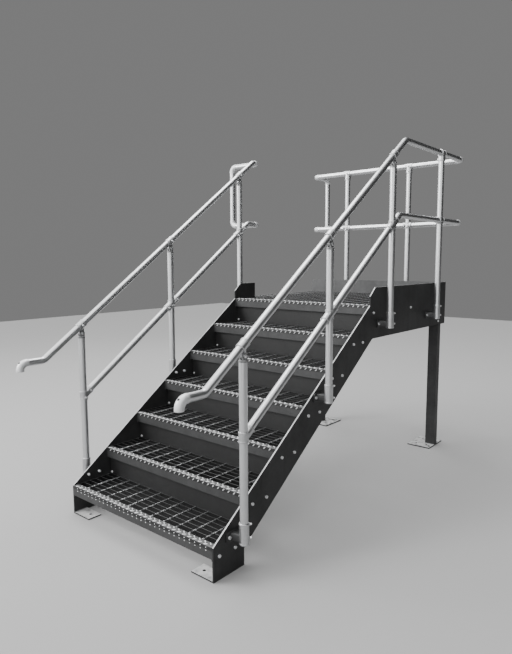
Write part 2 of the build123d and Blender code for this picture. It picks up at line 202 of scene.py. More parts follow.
def zinc(
    name,
    light,
    dark,
    crystals,
    blotches,
    relief,
    contrast=0.8,
    bands=0.0,
    roughness=0.5,
    metallic=0.5,
    top_highlight=1.0,
    dusty=False,
):
    """Galvanised finish between two greys, with crystals and blotches so many to the metre.

    Relief is the height of its grain in metres, and the top factor is how much brighter upward
    faces are: a painted highlight, with some wear.
    """
    material = bpy.data.materials.new(name)
    material.use_nodes = True
    tree = material.node_tree
    shader = tree.nodes["Principled BSDF"]
    shader.inputs["Metallic"].default_value = metallic
    point = add(tree, "TexCoord", {}).outputs["Object"]
    skin = add(
        tree,
        "Group",
        {
            "Point": point,
            "Light Tone": grey(light, -0.01),
            "Dark Tone": grey(dark, -0.015),
            "Crystals": crystals,
            "Blotches": blotches,
            "Contrast": contrast,
            "Bands": bands,
            "Roughness": roughness,
        },
        node_tree=zinc_skin,
    )
    grain = {"Height": skin.outputs["Height"], "Strength": 0.6, "Distance": relief}
    bump = add(tree, "Bump", grain)
    colour = skin.outputs["Color"]
    facing = add(tree, "NewGeometry", {}).outputs["Normal"]
    # Upward faces get a painted highlight from the light above, with some wear.
    if top_highlight != 1.0:
        highlight_inputs = {"Facing": facing, "Color": colour, "Lift": top_highlight}
        colour = add(tree, "Group", highlight_inputs, node_tree=highlight_and_wear).outputs["Color"]
    if dusty:
        dust = {
            "Point": point,
            "Facing": facing,
            "Color": colour,
            "Dust Tone": grey(dust_tone),
            "Depth": dust_depth,
        }
        colour = add(tree, "Group", dust, node_tree=ground_dust).outputs["Color"]
    tree.links.new(colour, shader.inputs["Base Color"])
    tree.links.new(skin.outputs["Roughness"], shader.inputs["Roughness"])
    tree.links.new(bump.outputs[0], shader.inputs["Normal"])
    return material


def finish_node(name, material):
    """Gives a CAD node its finish."""
    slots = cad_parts[name].data.materials
    slots.clear()
    slots.append(material)


# The stringers' top edges and other upward faces get a strong painted highlight.
plate_zinc = zinc(
    "dull_plate_zinc", light=0.03, dark=0.009, crystals=55.0, blotches=6.0, relief=0.0006,
    contrast=0.9, bands=0.9, metallic=0.4, top_highlight=16.0, dusty=True,
)
# A darker copy of the plate finish: painted shade under the treads above.
shaded_riser_zinc = zinc(
    "shaded_riser_plate_zinc", light=0.022, dark=0.009, crystals=45.0, blotches=4.0, relief=0.0005,
    bands=0.3, metallic=0.3, top_highlight=3.0,
)
back_zinc = zinc(
    "back_plate_zinc", light=0.085, dark=0.038, crystals=45.0, blotches=4.0, relief=0.0005,
    bands=0.6, metallic=0.4, top_highlight=2.0,
)
step_count = 6
for side in ("left", "right"):
    finish_node(f"stringer_{side}", plate_zinc)
for n in range(1, step_count + 1):
    finish_node(f"riser_{n}", shaded_riser_zinc)
finish_node("back_plate", back_zinc)
finish_node("extension_frame", plate_zinc)


# Gratings of the treads and the landing: flat bars on edge, welded between end plates.
# Each is dipped after welding. Down in its cells the zinc gets a painted shade, and its tops a
# painted highlight with some wear.
treads = [f"tread_{n}" for n in range(1, step_count + 1)]
gratings = {name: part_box(name) for name in treads + ["deck_front", "deck_rear", "deck_extension"]}
first_nosing = gratings["tread_1"][0].y
going = 0.25
front_plate = 0.0056
front_lap = 0.0005
# Factor of the painted shade down in the cells.
cell_shade = 0.22


def cell_shade_group():
    """Painted shade behind the front plate of each tread, down in the cells."""
    group, given, made = shader_group(
        "cell_shade", {"Point": "Vector", "Color": "Color", "Shade": "Float"}, {"Color": "Color"}
    )
    along = add(group, "SeparateXYZ", {0: given["Point"]}).outputs["Y"]
    into_flight = reckon(group, "SUBTRACT", along, first_nosing - front_lap)
    steps = reckon(group, "DIVIDE", into_flight, going)
    behind = reckon(group, "GREATER_THAN", reckon(group, "FRACT", steps), front_plate / going)
    group.links.new(scaled(group, given["Color"], behind, given["Shade"]), made["Color"])
    return group


def shade_cells(material, shade):
    """Puts the painted shade of the cells between a finish's zinc and what lies over it."""
    tree = material.node_tree
    groups = [node for node in tree.nodes if node.type == "GROUP"]
    skin = next(node for node in groups if node.node_tree == zinc_skin)
    over = skin.outputs["Color"].links[0].to_socket
    point = skin.inputs["Point"].links[0].from_socket
    shaded = {"Point": point, "Color": skin.outputs["Color"], "Shade": shade}
    cells = add(tree, "Group", shaded, node_tree=cell_shade_group())
    tree.links.new(cells.outputs["Color"], over)


grating_zinc = zinc(
    "grating_zinc", light=0.062, dark=0.028, crystals=70.0, blotches=9.0, relief=0.0006,
    bands=0.2, top_highlight=6.5,
)
shade_cells(grating_zinc, cell_shade)
for name in gratings:
    finish_node(name, grating_zinc)


# Cross rods: square rod, twisted cold and forged flush into the tops of the bars every 100 mm.
# Their twist catches the light as a row of bright flecks across each grating.
rod_side = 0.0056
rod_pitch = 0.1
rods_each_way = 5
rod_turn = 0.164
rod_steps_in_turn = 16
rod_proud = 0.0007
extension_rod_inset = 0.06
front_rod_start = 0.005
rear_rod_start = 0.001
rod_zinc = zinc(
    "rod_zinc", light=0.75, dark=0.4, crystals=90.0, blotches=30.0, relief=0.0003, roughness=0.33,
    metallic=0.93,
)


def joined(bm):
    """Merges corners that lie together and turns all faces outwards."""
    bmesh.ops.remove_doubles(bm, verts=bm.verts, dist=0.00001)
    bmesh.ops.recalc_face_normals(bm, faces=bm.faces)


def mesh_of(name, bm):
    """Mesh of a shape that is done."""
    mesh = bpy.data.meshes.new(name)
    bm.to_mesh(mesh)
    bm.free()
    return mesh


def shown(name, data):
    """Object in the scene."""
    thing = bpy.data.objects.new(name, data)
    bpy.context.scene.collection.objects.link(thing)
    return thing


def finished(name, bm, materials, slot, *nodes, sharp=35):
    """Object with its place in its mesh, smooth but for the edges that turn by a sharp angle."""
    joined(bm)
    for face in bm.faces:
        face.smooth = True
    for edge in bm.edges:
        edge.smooth = edge.calc_face_angle(0) < radians(sharp)
    piece = shown(name, mesh_of(name, bm))
    for material in materials:
        piece.data.materials.append(material)
    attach(piece, "root")
    if nodes:
        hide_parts(*nodes)
    return piece


def faces_at(corners):
    """Faces that meet at these corners, each once."""
    return list(dict.fromkeys(face for corner in corners for face in corner.link_faces))


def edges_at(corners):
    """Edges that meet at these corners, each once."""
    return list(dict.fromkeys(edge for corner in corners for edge in corner.link_edges))


def disc(bm, place, radius, segments):
    """Round face in the frame's XY plane, as a list to extrude."""
    ring = bmesh.ops.create_circle(
        bm, cap_ends=True, segments=segments, radius=radius, matrix=place
    )
    return faces_at(ring["verts"])


def pushed(bm, faces, offset):
    """Extrudes a face region by an offset and gives its new faces and vertices."""
    made = bmesh.ops.extrude_face_region(bm, geom=faces)["geom"]
    corners = [part for part in made if isinstance(part, bmesh.types.BMVert)]
    bmesh.ops.translate(bm, verts=corners, vec=offset)
    return [part for part in made if isinstance(part, bmesh.types.BMFace)], corners


def facing(at, along):
    """Frame at a point with its Z axis along a direction."""
    return Matrix.Translation(at) @ Vector(along).to_track_quat("Z", "Y").to_matrix().to_4x4()


def pattern(bm):
    """Mesh of a shape that is repeated."""
    return mesh_of("pattern", bm)


def placed(bm, mesh, place):
    """Adds a copy of a pattern at its place."""
    before = set(bm.verts)
    bm.from_mesh(mesh)
    fresh = [corner for corner in bm.verts if corner not in before]
    bmesh.ops.transform(bm, matrix=place, verts=fresh)


def twisted_rod(length):
    """Square rod along Y from the origin, twisted evenly."""
    bm = bmesh.new()
    start = (0, 0, 0)
    faces = disc(bm, facing(start, (0, 1, 0)), rod_side / 2**0.5, 4)
    count = round(length / rod_turn * rod_steps_in_turn)
    twist = Matrix.Rotation(2 * pi / rod_steps_in_turn, 3, "Y")
    for n in range(count):
        faces, corners = pushed(bm, faces, (0, length / count, 0))
        bmesh.ops.rotate(bm, cent=start, matrix=twist, verts=corners)
    return pattern(bm)


flight_middle = (gratings["tread_1"][0].x + gratings["tread_1"][1].x) / 2
for name, (low, high) in gratings.items():
    rods = bmesh.new()
    top = high.z - rod_side / 2 + rod_proud
    if name == "deck_extension":
        places = [low.x + extension_rod_inset]
    else:
        numbers = range(-rods_each_way, rods_each_way + 1)
        places = [flight_middle + n * rod_pitch for n in numbers]
    has_nosing = name in treads or name == "deck_front"
    front = low.y + (front_rod_start if has_nosing else rear_rod_start)
    rod = twisted_rod(high.y - front)
    for x in places:
        placed(rods, rod, Matrix.Translation((x, front, top)))
    finished(f"{name}_cross_rods", rods, [rod_zinc], "grating")


# Nosings: an angle of thin chequer plate over the front edge of each tread and the landing.
# Its raised studs lie slantwise, row against row. They are bright, partly worn by boots and partly
# a painted highlight, and the dark plate between them is partly dirt and partly painted shade. The
# lowest tread's front edge has two rows of small studs instead.
nosing_top = 0.034
nosing_front = 0.018
nosing_skin = 0.001
nosing_round = 0.002
stud_pitch = 0.0384
top_stud = (0.0225, 0.0066, 0.0018)
front_stud = (0.02, 0.007, 0.0022)
dot_stud = (0.0075, 0.0055, 0.0009)
stud_rows_top = ((0.0085, 0.0, radians(35)), (0.0255, 0.5, radians(-35)))
stud_row_front = (0.0098, 0.25, radians(42))
dot_row_drop = 0.026
stud_top = Matrix.Diagonal((0.8, 0.55, 1, 1))
# Dark plate: partly dirt, partly painted shade between the studs; its tops get a painted highlight.
nosing_zinc = zinc(
    "nosing_zinc", light=0.026, dark=0.01, crystals=110.0, blotches=60.0, relief=0.0003,
    contrast=0.9, roughness=0.45, top_highlight=4.0,
)
# Bright studs: partly worn by boots, partly a painted highlight.
stud_zinc = zinc(
    "worn_and_lit_stud_zinc", light=0.75, dark=0.45, crystals=140.0, blotches=90.0, relief=0.0002,
    roughness=0.33, metallic=0.45,
)


def turned_by(matrix, angle):
    """The same frame turned about its own Z axis."""
    return matrix @ Matrix.Rotation(angle, 4, "Z")


def chequer_stud(length, width, height):
    """Raised stud, a long lozenge with eased ends, on the XY plane."""
    bm = bmesh.new()
    outline = Matrix.Diagonal((length / 2, width / 2, 1, 1))
    top = pushed(bm, disc(bm, outline, 1, 8), (0, 0, height))[1]
    bmesh.ops.transform(bm, matrix=stud_top, verts=top)
    return pattern(bm)


def eased(bm, edges, offset, segments):
    """Rounds these edges."""
    bmesh.ops.bevel(
        bm,
        geom=edges,
        offset=offset,
        segments=segments,
        affect="EDGES",
        profile=0.5,
        material=-1,
    )


top_stud_mesh = chequer_stud(*top_stud)
front_stud_mesh = chequer_stud(*front_stud)
dot_stud_mesh = chequer_stud(*dot_stud)
for name in treads + ["deck_front"]:
    low, high = gratings[name]
    nosing = bmesh.new()
    section = [
        (low.y + nosing_top, high.z),
        (low.y + nosing_top, high.z + nosing_skin),
        (low.y - nosing_skin, high.z + nosing_skin),
        (low.y - nosing_skin, high.z - nosing_front),
        (low.y, high.z - nosing_front),
        (low.y, high.z),
    ]
    end = nosing.faces.new([nosing.verts.new((low.x, y, z)) for y, z in section])
    pushed(nosing, [end], (high.x - low.x, 0, 0))
    fold = Vector(section[2])
    edge = [e for e in nosing.edges if all((v.co.yz - fold).length < 1e-6 for v in e.verts)]
    eased(nosing, edge, nosing_round, 3)
    finished(f"{name}_nosing", nosing, [nosing_zinc], "grating")
    studs = bmesh.new()
    count = int((high.x - low.x) / stud_pitch) - 1
    inset = (high.x - low.x - (count - 0.5) * stud_pitch) / 2
    for n in range(count):
        for y, shift, slant in stud_rows_top:
            x = low.x + inset + (n + shift) * stud_pitch
            at = Matrix.Translation((x, low.y + y, high.z + nosing_skin))
            placed(studs, top_stud_mesh, turned_by(at, slant))
        drop, shift, slant = stud_row_front
        x = low.x + inset + (n + shift) * stud_pitch
        at = facing((x, low.y - nosing_skin, high.z - drop), (0, -1, 0))
        stud = dot_stud_mesh if name == "tread_1" else front_stud_mesh
        placed(studs, stud, turned_by(at, slant))
        if name == "tread_1":
            placed(studs, dot_stud_mesh, facing((x, low.y, high.z - dot_row_drop), (0, -1, 0)))
    finished(f"{name}_studs", studs, [stud_zinc], "grating")


# Bolts through the stringers into the end plates of the treads, the landing and the rear beam.
# Zinc-plated hexagon bolts, each with a washer under its head and a nut on its inner end.
bolt_flat = 0.0078
head_height = 0.006
washer_radius = 0.0092
washer_thickness = 0.0018
nut_height = 0.009
thread_radius = 0.006
thread_end = 0.014
tread_bolt_backs = (0.041, 0.156)
tread_bolt_drop = 0.055
deck_bolts = ((0.044, 0.051), (0.612, 0.051), (1.102, 0.054))
beam_bolts = ((1.135, 0.133), (1.135, 0.197))
end_plate = 0.0053
beam_end_plate = 0.0083
outwards = {"left": -1, "right": 1}
inner_x = {"left": gratings["tread_1"][0].x, "right": gratings["tread_1"][1].x}
bolt_zinc = zinc(
    "bolt_zinc", light=0.85, dark=0.6, crystals=130.0, blotches=40.0, relief=0.0002,
    roughness=0.33, metallic=0.85,
)


def turned(bm, profile, place, steps=24):
    """Round form from a profile of radius and height, spun about the frame's Z axis."""
    points = [bm.verts.new(place @ Vector((radius, 0, height))) for radius, height in profile]
    edges = [bm.edges.new(pair) for pair in zip(points, points[1:])]
    axis = place.to_3x3() @ Vector((0, 0, 1))
    bmesh.ops.spin(
        bm,
        geom=points + edges,
        cent=place.translation,
        axis=axis,
        angle=2 * pi,
        steps=steps,
        use_merge=True,
    )


def cylinder(bm, place, radius, low, high, steps=24):
    """Cylinder along the frame's Z axis."""
    turned(bm, [(0, low), (radius, low), (radius, high), (0, high)], place, steps)


def washer(bm, radius):
    """Washer on the XY plane, its outer edge eased."""
    top, shoulder, crown = washer_thickness, washer_thickness * 0.7, radius * 0.95
    turned(bm, [(0, 0), (radius, 0), (radius, shoulder), (crown, top), (0, top)], Matrix())


def hexagon(bm, place, flat, height):
    """Hexagon head or nut, with its outer corners turned off."""
    corner, shoulder, crown = flat / cos(pi / 6), height * 0.8, flat * 0.93
    profile = [(0, 0), (corner, 0), (corner, shoulder), (crown, height), (0, height)]
    turned(bm, profile, place, 6)


def bolt_head(flat=bolt_flat, height=head_height):
    """Head and washer on the XY plane, pointing along Z."""
    bm = bmesh.new()
    washer(bm, flat * washer_radius / bolt_flat)
    hexagon(bm, Matrix.Translation((0, 0, washer_thickness)), flat, height)
    return pattern(bm)


def bolt_nut():
    """Washer, nut and the end of the thread."""
    bm = bmesh.new()
    washer(bm, washer_radius)
    hexagon(bm, Matrix.Translation((0, 0, washer_thickness)), bolt_flat, nut_height)
    end, chamfer = washer_thickness + thread_end, 0.001
    profile = [(0, 0), (thread_radius, 0), (thread_radius, end - chamfer)]
    turned(bm, profile + [(thread_radius - chamfer, end), (0, end)], Matrix(), 12)
    return pattern(bm)


head_mesh = bolt_head()
nut_mesh = bolt_nut()
landing_nosing = gratings["deck_front"][0].y
deck_z = gratings["deck_front"][1].z
for side, direction in outwards.items():
    low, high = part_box(f"stringer_{side}")
    outer = high.x if direction > 0 else low.x
    inner = inner_x[side]
    bolts = bmesh.new()
    places = []
    for name in treads:
        tread_low, tread_high = gratings[name]
        for back in tread_bolt_backs:
            places.append((tread_low.y + back, tread_high.z - tread_bolt_drop, end_plate))
    places += [(landing_nosing + back, deck_z - drop, end_plate) for back, drop in deck_bolts]
    places += [(landing_nosing + back, deck_z - drop, beam_end_plate) for back, drop in beam_bolts]
    for y, z, plate in places:
        placed(bolts, head_mesh, facing((outer, y, z), (direction, 0, 0)))
        placed(bolts, nut_mesh, facing((inner - direction * plate, y, z), (-direction, 0, 0)))
    finished(f"stringer_bolts_{side}", bolts, [bolt_zinc], "grating")


# Riser bolts: one small hexagon bolt at each lower corner of a riser plate, just above the tread.
riser_bolt_flat = 0.0065
riser_bolt_height = 0.005
riser_bolt_side = 0.014
riser_bolt_up = 0.012
riser_bolt_mesh = bolt_head(riser_bolt_flat, riser_bolt_height)
riser_bolts = bmesh.new()
for n in range(1, step_count + 1):
    low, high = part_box(f"riser_{n}")
    for x in (low.x + riser_bolt_side, high.x - riser_bolt_side):
        at = (x, low.y, gratings[f"tread_{n}"][1].z + riser_bolt_up)
        placed(riser_bolts, riser_bolt_mesh, facing(at, (0, -1, 0)))
finished("riser_bolts", riser_bolts, [bolt_zinc], "plate")


# Legs of box section on base plates, and the channel between them under the rear of the landing.
# They are welded all round and galvanised whole, so the weld beads are zinc too.
weld_radius = 0.0034
weld_ripple = 0.004
weld_pinch = 0.84
leg_zinc = zinc(
    "leg_zinc", light=0.04, dark=0.014, crystals=50.0, blotches=7.0, relief=0.0006, contrast=0.9,
    bands=0.4, metallic=0.4, top_highlight=1.5, dusty=True,
)
# The weld beads' own zinc; the swivels' forks take it too, as a painted shade under their sleeves.
weld_and_fork_shade_zinc = zinc(
    "weld_and_fork_shade_zinc", light=0.26, dark=0.14, crystals=90.0, blotches=50.0, relief=0.0004,
    roughness=0.45, metallic=0.6,
)
for name in ("leg_left", "leg_right", "rear_beam"):
    finish_node(name, leg_zinc)


def weld_bead(bm, start, end):
    """Rippled bead from one point to another, half sunk in the corner that it fills."""
    start, end = Vector(start), Vector(end)
    faces = disc(bm, facing(start, end - start), weld_radius, 8)
    count = max(2, round((end - start).length / weld_ripple))
    step = (end - start) / count
    for n in range(count):
        faces, corners = pushed(bm, faces, step)
        swell = weld_pinch if n % 2 == 0 else 1 / weld_pinch
        middle = Matrix.Translation(start + step * (n + 1))
        scale = middle @ Matrix.Scale(swell, 4) @ middle.inverted()
        bmesh.ops.transform(bm, matrix=scale, verts=corners)


leg_width = 0.08
leg_depth = 0.05
base_top = 0.01
foot_plate_top = 0.008
foot_plate_depth = 0.09
foot_weld_end = 0.003
welds = bmesh.new()
for side, direction in outwards.items():
    low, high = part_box(f"leg_{side}")
    middle_y = (low.y + high.y) / 2
    face = high.x if direction > 0 else low.x
    ends_x = (face, face - direction * leg_width)
    ends_y = (middle_y - leg_depth / 2, middle_y + leg_depth / 2)
    for y in ends_y:
        weld_bead(welds, (ends_x[0], y, base_top), (ends_x[1], y, base_top))
    weld_bead(welds, (ends_x[1], ends_y[0], base_top), (ends_x[1], ends_y[1], base_top))
    inner = inner_x[side]
    front = first_nosing + foot_weld_end
    rear = first_nosing + foot_plate_depth - foot_weld_end
    weld_bead(welds, (inner, front, foot_plate_top), (inner, rear, foot_plate_top))
low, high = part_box("extension_frame")
rib_weld_low = 0.073
rib_weld_high = 0.036
rib_count = 4
rib_side = 0.006
for n in range(rib_count):
    y = low.y + n * (high.y - low.y) / rib_count + rib_side
    bottom, top = high.z - rib_weld_low, high.z - rib_weld_high
    weld_bead(welds, (high.x, y, bottom), (high.x, y, top))
finished("weld_beads", welds, [weld_and_fork_shade_zinc], "plate")


# Side fixings: malleable iron castings that hold each post to the outside of the plate.
# A flange takes two bolts, a tapered neck leads to a sleeve, and two set screws grip the post.
casting_zinc = zinc(
    "casting_zinc", light=0.54, dark=0.37, crystals=60.0, blotches=22.0, relief=0.0004,
    roughness=0.35, metallic=0.92,
)
# A dark copy of the casting finish: painted shade on the flanges behind the posts, and in the
# elbows' screw recesses.
shaded_flange_zinc = zinc(
    "shaded_flange_zinc", light=0.05, dark=0.02, crystals=60.0, blotches=22.0, relief=0.0009,
    contrast=0.9,
)
tube_radius = 0.0212
bore_radius = 0.0214
rim_radius = 0.0265
body_radius = 0.0252
rim_width = 0.008
rim_ease = 0.0012
rim_step = 0.001
post_offset = 0.07
palm_length = 0.116
palm_height = 0.054
palm_plate = 0.008
stringer_plate = 0.008
palm_corner = 0.014
palm_low = -0.028
palm_high = 0.082
neck_height = 0.042
neck_width = 0.064
neck_taper = (0.44, 1, 0.94)
neck_round = 0.006
palm_bolt_reach = 0.039
boss_radius = 0.0085
boss_flare = 0.001
boss_root = 0.022
boss_top = 0.0285
screw_radius = 0.0052
screw_root = 0.024
screw_recess = 0.0031
screw_reach = 0.0335
long_screw_reach = 0.0385
screw_angle = radians(34)
palm_screw_heights = (0.001, 0.072)


def barrel(bm, place, low, high, bottom_rim=True):
    """Solid barrel of a sleeve or socket, with a slightly thicker rim at each open end."""
    bottom = [(0, low), (body_radius, low)]
    if bottom_rim:
        bottom = [
            (0, low),
            (rim_radius - rim_ease, low),
            (rim_radius, low + rim_ease),
            (rim_radius, low + rim_width),
            (body_radius, low + rim_width + rim_step),
        ]
    top = [
        (body_radius, high - rim_width - rim_step),
        (rim_radius, high - rim_width),
        (rim_radius, high - rim_ease),
        (rim_radius - rim_ease, high),
        (0, high),
    ]
    turned(bm, bottom + top, place, 32)


def hollow(bm, place, low, high):
    """Solid of a bore, to be cut out of a casting."""
    cylinder(bm, place, bore_radius, low, high, 32)


def screw_boss(bm, place):
    """Boss for a set screw, from inside the wall to just outside it, along the frame's Z axis."""
    foot = boss_radius + boss_flare
    profile = [(0, boss_root), (foot, boss_root), (boss_radius, boss_top), (0, boss_top)]
    turned(bm, profile, place, 20)


def set_screw(reach, root=screw_root, radius=screw_radius, recess=screw_recess):
    """Socket set screw along the Z axis, from its root to its reach, with a recess in its end."""
    bm = bmesh.new()
    chamfer, recess_depth = 0.0008, 0.003
    profile = [(0, root), (radius, root), (radius, reach - chamfer), (radius - chamfer, reach)]
    turned(bm, profile + [(recess, reach)], Matrix(), 12)
    floor = reach - recess_depth
    turned(bm, [(recess, reach), (recess * 0.9, floor), (0, floor)], Matrix(), 12)
    return pattern(bm)


screw_mesh = set_screw(screw_reach)
long_screw_mesh = set_screw(long_screw_reach)


def fused(solids, bores):
    """Mesh of one casting: its overlapping solids made one, with its bores cut out."""
    pair = []
    for name, bm in (("solids", solids), ("bores", bores)):
        joined(bm)
        pair.append(shown(name, mesh_of(name, bm)))
    cut = pair[0].modifiers.new("bores", "BOOLEAN")
    cut.operation = "DIFFERENCE"
    cut.solver = "EXACT"
    cut.use_self = True
    cut.object = pair[1]
    view = bpy.context.evaluated_depsgraph_get()
    mesh = bpy.data.meshes.new_from_object(pair[0].evaluated_get(view))
    for part in pair:
        bpy.data.objects.remove(part)
    return mesh


def block(bm, low, high):
    """Rectangular block between two corners."""
    low, high = Vector(low), Vector(high)
    place = Matrix.Translation((low + high) / 2) @ Matrix.Diagonal((*(high - low), 1))
    return bmesh.ops.create_cube(bm, size=1, matrix=place)["verts"]


def along_axis(edge, axis):
    """Whether an edge runs along X, Y or Z."""
    span = edge.verts[1].co - edge.verts[0].co
    return abs(span[axis]) > 0.999 * span.length


def palm_casting():
    """Side fixing with the plate behind it at Y = 0 and the post at the offset."""
    solids = bmesh.new()
    half_length, half_height = palm_length / 2, palm_height / 2
    low, high = (-half_length, 0, -half_height), (half_length, palm_plate, half_height)
    corners = [edge for edge in edges_at(block(solids, low, high)) if along_axis(edge, 1)]
    eased(solids, corners, palm_corner, 5)
    neck = block(
        solids,
        (-neck_width / 2, palm_plate - 0.001, -neck_height / 2),
        (neck_width / 2, post_offset, neck_height / 2),
    )
    tip = [corner for corner in neck if corner.co.y > palm_plate]
    bmesh.ops.scale(solids, vec=neck_taper, verts=tip)
    sides = [e for e in edges_at(neck) if not along_axis(e, 0) and not along_axis(e, 2)]
    eased(solids, sides, neck_round, 3)
    axis = Matrix.Translation((0, post_offset, 0))
    barrel(solids, axis, palm_low, palm_high)
    for screw in palm_screws:
        screw_boss(solids, screw)
    bores = bmesh.new()
    hollow(bores, axis, palm_low - 0.02, palm_high + 0.02)
    mesh = fused(solids, bores)
    # The flange and neck take the dark copy of the finish: painted shade behind the post.
    sleeve_reach = rim_radius + 0.003
    for face in mesh.polygons:
        across = face.center.xy - Vector((0, post_offset))
        face.material_index = int(across.length > sleeve_reach)
    return mesh


screw_way = (-cos(screw_angle), sin(screw_angle), 0)
palm_screws = [facing((0, post_offset, z), screw_way) for z in palm_screw_heights]
palm_mesh = palm_casting()
palm_turns = {"left": pi / 2, "right": -pi / 2, "back": 0}
posts = {
    "left": ["post_left_1", "post_left_2", "post_left_3"],
    "right": ["post_right_1", "post_right_2", "post_right_3", "post_right_4"],
    "back": ["post_back_1", "post_back_2"],
}
set_screws = bmesh.new()
fixing_bolts = bmesh.new()
post_places = {}
for side, names in posts.items():
    palms = bmesh.new()
    for name in names:
        low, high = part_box(name)
        axis = (low + high) / 2
        post_places[name] = (axis.x, axis.y, low.z, high.z)
        turn = Matrix.Rotation(palm_turns[side], 4, "Z")
        at = Vector((axis.x, axis.y, low.z - palm_low)) - turn @ Vector((0, post_offset, 0))
        place = Matrix.Translation(at) @ turn
        mirror = Matrix.Diagonal((-1, 1, 1, 1)) if side == "left" else Matrix.Identity(4)
        placed(palms, palm_mesh, place @ mirror)
        for screw in palm_screws:
            placed(set_screws, long_screw_mesh, place @ mirror @ screw)
        for x in (-palm_bolt_reach, palm_bolt_reach):
            placed(fixing_bolts, head_mesh, place @ facing((x, palm_plate, 0), (0, 1, 0)))
            placed(fixing_bolts, nut_mesh, place @ facing((x, -stringer_plate, 0), (0, -1, 0)))
    finishes = [casting_zinc, shaded_flange_zinc]
    finished(f"side_fixings_{side}", palms, finishes, "casting", f"palms_{side}")
finished("fixing_bolts", fixing_bolts, [bolt_zinc], "casting")


# Guard posts, handrails, mid rails and returns: 42.4 mm galvanised tube, cut and bent cold.
# Each end stands in a fitting, so no tube is welded or drilled.
tube_zinc = zinc(
    "tube_zinc", light=0.62, dark=0.46, crystals=42.0, blotches=9.0, relief=0.00001,
    contrast=0.45, roughness=0.345, metallic=0.96,
)
tube_wall = 0.0032
tube_sides = 32
bend_radius = 0.048
bend_step = radians(6)


def tube(bm, *points):
    """Tube with a true wall along straight runs, bent on a former at each corner."""
    points = [Vector(point) for point in points]
    heading = (points[1] - points[0]).normalized()
    start = facing(points[0], heading)
    rings = [
        bmesh.ops.create_circle(bm, segments=tube_sides, radius=radius, matrix=start)["verts"]
        for radius in (tube_radius, tube_radius - tube_wall)
    ]
    rims = edges_at(rings[0]) + edges_at(rings[1])
    faces = bmesh.ops.bridge_loops(bm, edges=rims)["faces"]
    at = points[0]
    for corner, after in zip(points[1:], points[2:]):
        onward = (after - corner).normalized()
        angle = heading.angle(onward)
        cut = bend_radius * tan(angle / 2)
        entry = corner - heading * cut
        faces = pushed(bm, faces, entry - at)[0]
        axis = heading.cross(onward).normalized()
        centre = entry + axis.cross(heading) * bend_radius
        steps = max(2, round(angle / bend_step))
        bend = bmesh.ops.spin(bm, geom=faces, cent=centre, axis=axis, angle=angle, steps=steps)
        faces = [part for part in bend["geom_last"] if isinstance(part, bmesh.types.BMFace)]
        at = corner + onward * cut
        heading = onward
    pushed(bm, faces, points[-1] - at)


for side, names in posts.items():
    uprights = bmesh.new()
    for name in names:
        x, y, low_z, high_z = post_places[name]
        tube(uprights, (x, y, low_z), (x, y, high_z))
    finished(f"posts_{side}", uprights, [tube_zinc], "tube", *names)

rise = 0.18
slope = rise / going
pitch = atan2(rise, going)
handrail_up = 0.875
mid_rail_up = 0.426
guard_height = 1.1
guard_mid_height = 0.6
guard_z = deck_z + guard_height
guard_mid_z = deck_z + guard_mid_height
low_drop = 0.082
elbow_seat = 0.025
post_clear = 0.002
left_return = 0.285
back_return = 0.22
uphill = Vector((0, cos(pitch), sin(pitch)))
rail_x = {"left": post_places["post_left_1"][0], "right": post_places["post_right_1"][0]}
flight_y = [post_places[f"post_right_{n}"][1] for n in (1, 2, 3)]
low_z = rise + handrail_up - low_drop


def pitch_z(y):
    """Height of the line through the nosings."""
    return rise + (y - first_nosing) * slope


def bend_y(height, above):
    """Where a rail that runs this far above the pitch line reaches a height."""
    return first_nosing + (height - above - rise) / slope


for side in ("left", "right"):
    x = rail_x[side]
    low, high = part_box(f"handrail_{side}")
    rail = bmesh.new()
    tube(
        rail,
        (x, low.y, low_z),
        (x, bend_y(low_z, handrail_up), low_z),
        (x, bend_y(guard_z, handrail_up), guard_z),
        (x, high.y, guard_z),
    )
    finished(f"handrail_tube_{side}", rail, [tube_zinc], "tube", f"handrail_{side}")
low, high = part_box("handrail_back")
back_y = (low.y + high.y) / 2
rail = bmesh.new()
tube(rail, (low.x, back_y, guard_z), (high.x, back_y, guard_z))
finished("handrail_tube_back", rail, [tube_zinc], "tube", "handrail_back")


def stub(angle):
    """How far from a post's axis a rail stops, to clear the post."""
    return (tube_radius + post_clear + tube_radius * sin(angle)) / cos(angle)


for side in ("left", "right"):
    x = rail_x[side]
    low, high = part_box(f"mid_rail_{side}")
    rails = bmesh.new()
    knots = [Vector((x, y, pitch_z(y) + mid_rail_up)) for y in flight_y]
    gap = uphill * stub(pitch)
    for near, far in zip(knots, knots[1:]):
        tube(rails, near + gap, far - gap)
    if side == "right":
        rear_y = post_places["post_right_4"][1]
        level_end = rear_y - stub(0)
        tube(rails, (x, rear_y + stub(0), guard_mid_z), (x, high.y, guard_mid_z))
    else:
        level_end = high.y
    bend = (x, bend_y(guard_mid_z, mid_rail_up), guard_mid_z)
    tube(rails, knots[-1] + gap, bend, (x, level_end, guard_mid_z))
    finished(f"mid_rail_tube_{side}", rails, [tube_zinc], "tube", f"mid_rail_{side}")
low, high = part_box("mid_rail_back")
back_x = [post_places[f"post_back_{n}"][0] for n in (1, 2)]
rails = bmesh.new()
stops = [low.x]
for x in reversed(back_x):
    stops += [x - stub(0), x + stub(0)]
stops.append(high.x)
for start, end in zip(stops[::2], stops[1::2]):
    tube(rails, (start, back_y, guard_mid_z), (end, back_y, guard_mid_z))
finished("mid_rail_tube_back", rails, [tube_zinc], "tube", "mid_rail_back")

